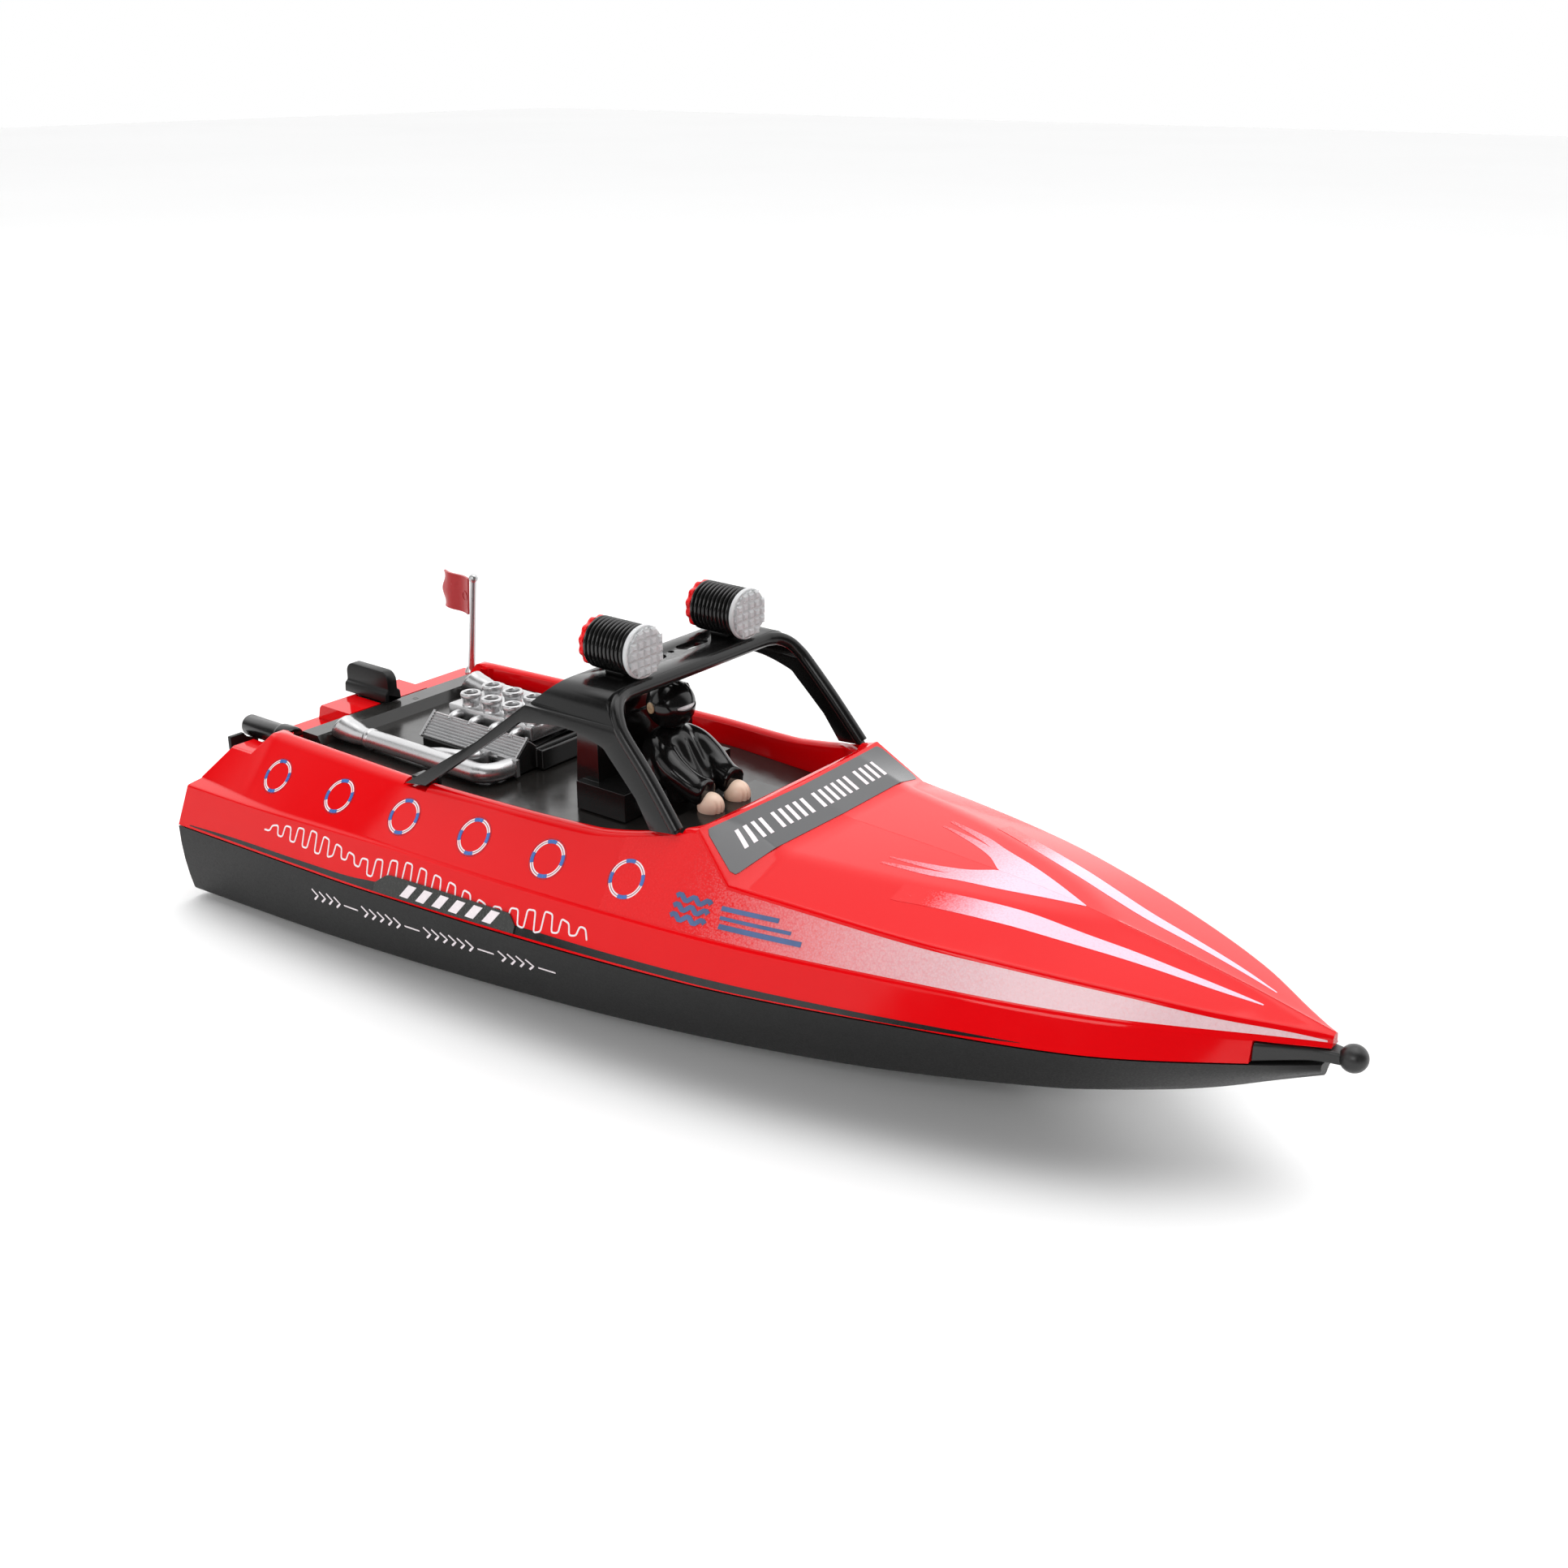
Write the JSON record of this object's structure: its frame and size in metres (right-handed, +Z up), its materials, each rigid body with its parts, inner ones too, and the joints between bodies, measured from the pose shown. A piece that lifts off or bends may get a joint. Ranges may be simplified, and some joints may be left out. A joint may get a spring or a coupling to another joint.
{
  "type": "radio-controlled jet boat",
  "caption": "Radio-controlled V-hull speedboat with a lift-off cockpit hatch, roll cage with spot lamps, driver, model engine, latch and a steerable jet drive.",
  "frame": {"origin": "under the middle of the boat's length and beam, on the surface the keel stands on", "axes": "+X towards the bow, +Y to port, +Z up"},
  "size_m": [0.26, 0.098, 0.08],
  "materials": {
    "red_plastic": "gloss moulded",
    "dark_plastic": "satin moulded",
    "black_gloss": "gloss moulded",
    "black_satin": "satin moulded",
    "silver_paint": "silver paint on plastic",
    "clear_plastic": "clear faceted",
    "skin_paint": "painted",
    "seal_rubber": "soft",
    "steel": "plain",
    "brass": "turned",
    "board_green": "coated board",
    "battery_blue": "shrink film",
    "wire_red": "insulated lead"
  },
  "bodies": {
    "hull": {"battery": "battery_blue", "battery_lead": "wire_red", "battery_tray": "black_satin", "bow_bumper": "seal_rubber", "circuit_board": "board_green", "flag": "red_plastic", "flag_pole": "silver_paint", "hatch_seal": "seal_rubber", "hull_bottom": "dark_plastic", "hull_top": "red_plastic", "intake_grille": "black_satin", "jet_duct": "black_satin", "motor": "steel", "motor_lead": "wire_red", "motor_mount": "black_satin", "nozzle_housing": "black_satin", "pipe_bracket": "dark_plastic", "shaft_tube": "brass", "stator": "black_satin", "steering_servo": "black_satin", "stern_pipe": "black_satin", "water_sensor_port": "steel", "water_sensor_starboard": "steel"},
    "hatch": {"cage_screw_port": "steel", "cage_screw_starboard": "steel", "deck_cover": "black_gloss", "driver_body": "black_gloss", "driver_hand_port": "skin_paint", "driver_hand_starboard": "skin_paint", "driver_helmet": "black_gloss", "driver_visor": "silver_paint", "engine_base": "black_gloss", "engine_block": "silver_paint", "exhaust_pipe_port": "silver_paint", "exhaust_pipe_starboard": "silver_paint", "intake_manifold": "silver_paint", "lamp_housing_port": "black_satin", "lamp_housing_starboard": "black_satin", "lamp_lens_port": "clear_plastic", "lamp_lens_starboard": "clear_plastic", "lamp_tail_port": "red_plastic", "lamp_tail_starboard": "red_plastic", "roll_cage": "black_satin", "seat": "black_gloss", "valve_cover_port": "silver_paint", "valve_cover_starboard": "silver_paint"},
    "latch": {"latch_knob": "black_satin", "latch_cam": "black_satin"},
    "drive_line": {"drive_shaft": "steel", "shaft_coupling": "brass", "impeller": "brass"},
    "nozzle": {"steering_nozzle": "black_satin"},
    "horn": {"servo_horn": "black_satin"},
    "rod": {"pushrod": "steel"}
  },
  "joints": [
    {"name": "hatch_lift", "type": "slide", "parent": "hull", "child": "hatch", "axis": [0, 0, 1], "range_m": [0, 0.1]},
    {"name": "latch_turn", "type": "hinge", "parent": "hatch", "child": "latch", "pos_m": [-0.1176, 0, 0.039], "axis": [0, 0, 1], "range_deg": [0, 90]},
    {"name": "drive_spin", "type": "hinge", "parent": "hull", "child": "drive_line", "pos_m": [-0.08, 0, 0.011], "axis": [1, 0, 0], "continuous": true},
    {"name": "nozzle_swing", "type": "hinge", "parent": "hull", "child": "nozzle", "pos_m": [-0.119, 0, 0.011], "axis": [0, 0, 1], "range_deg": [-22, 22]},
    {"name": "horn_swing", "type": "hinge", "parent": "hull", "child": "horn", "pos_m": [-0.084, 0.017, 0.0194], "axis": [0, 0, 1], "range_deg": [-22, 22]},
    {"name": "rod_pivot", "type": "hinge", "parent": "horn", "child": "rod", "pos_m": [-0.084, 0.026, 0.0194], "axis": [0, 0, 1], "range_deg": [-22, 22]}
  ],
  "couplings": [
    {"joint": "horn_swing", "follows": "nozzle_swing", "ratio": 1},
    {"joint": "rod_pivot", "follows": "nozzle_swing", "ratio": -1}
  ]
}
